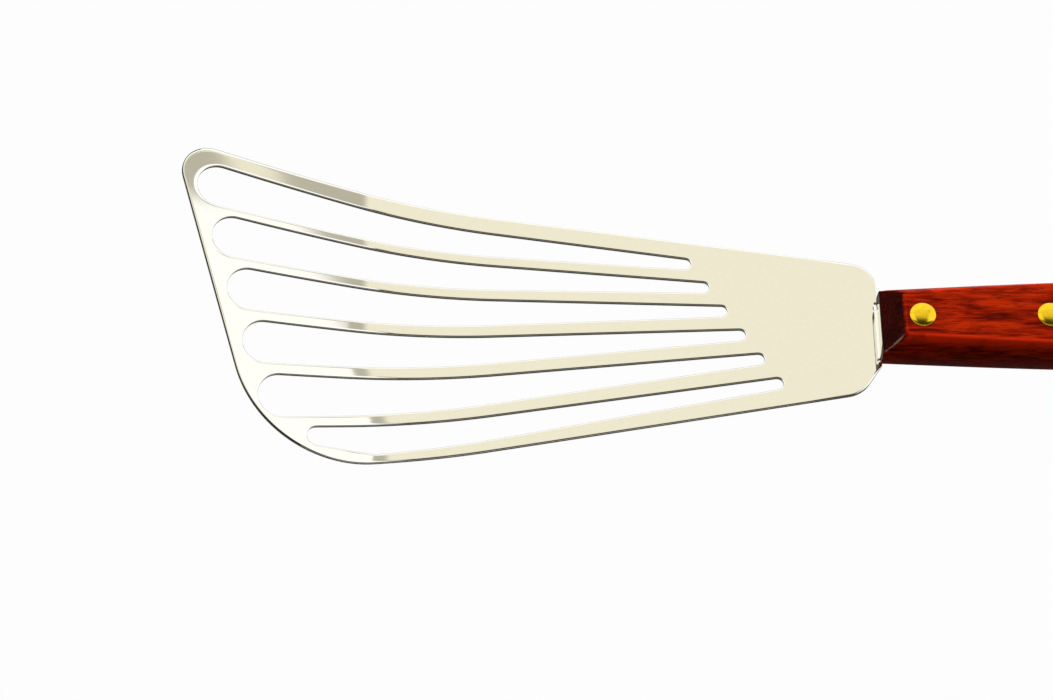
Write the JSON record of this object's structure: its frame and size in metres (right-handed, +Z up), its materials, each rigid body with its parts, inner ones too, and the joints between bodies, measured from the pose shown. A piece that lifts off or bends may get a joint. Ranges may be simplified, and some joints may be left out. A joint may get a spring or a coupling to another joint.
{
  "type": "slotted turner",
  "caption": "Slotted cooking turner with a flared, slant-tipped steel blade that curls up at the tip, a cranked neck and a riveted wooden handle.",
  "frame": {"origin": "bottom centre of the bounding box, in the plane of the blade's flat underside", "axes": "+X along the handle from the blade's tip towards the butt, +Y towards the long corner of the slanted tip, +Z up from the blade's underside"},
  "size_m": [0.2672, 0.073, 0.018],
  "materials": {
    "steel": "satin polished stainless sheet",
    "wood": "oiled reddish hardwood with dark lengthwise grain",
    "brass": "polished domed brass"
  },
  "bodies": {
    "root": {"blade": "steel", "upper_scale": "wood", "lower_scale": "wood", "front_rivet_post": "brass", "front_rivet_cap": "brass", "middle_rivet_post": "brass", "middle_rivet_cap": "brass", "rear_rivet_post": "brass", "rear_rivet_cap": "brass"}
  },
  "joints": []
}
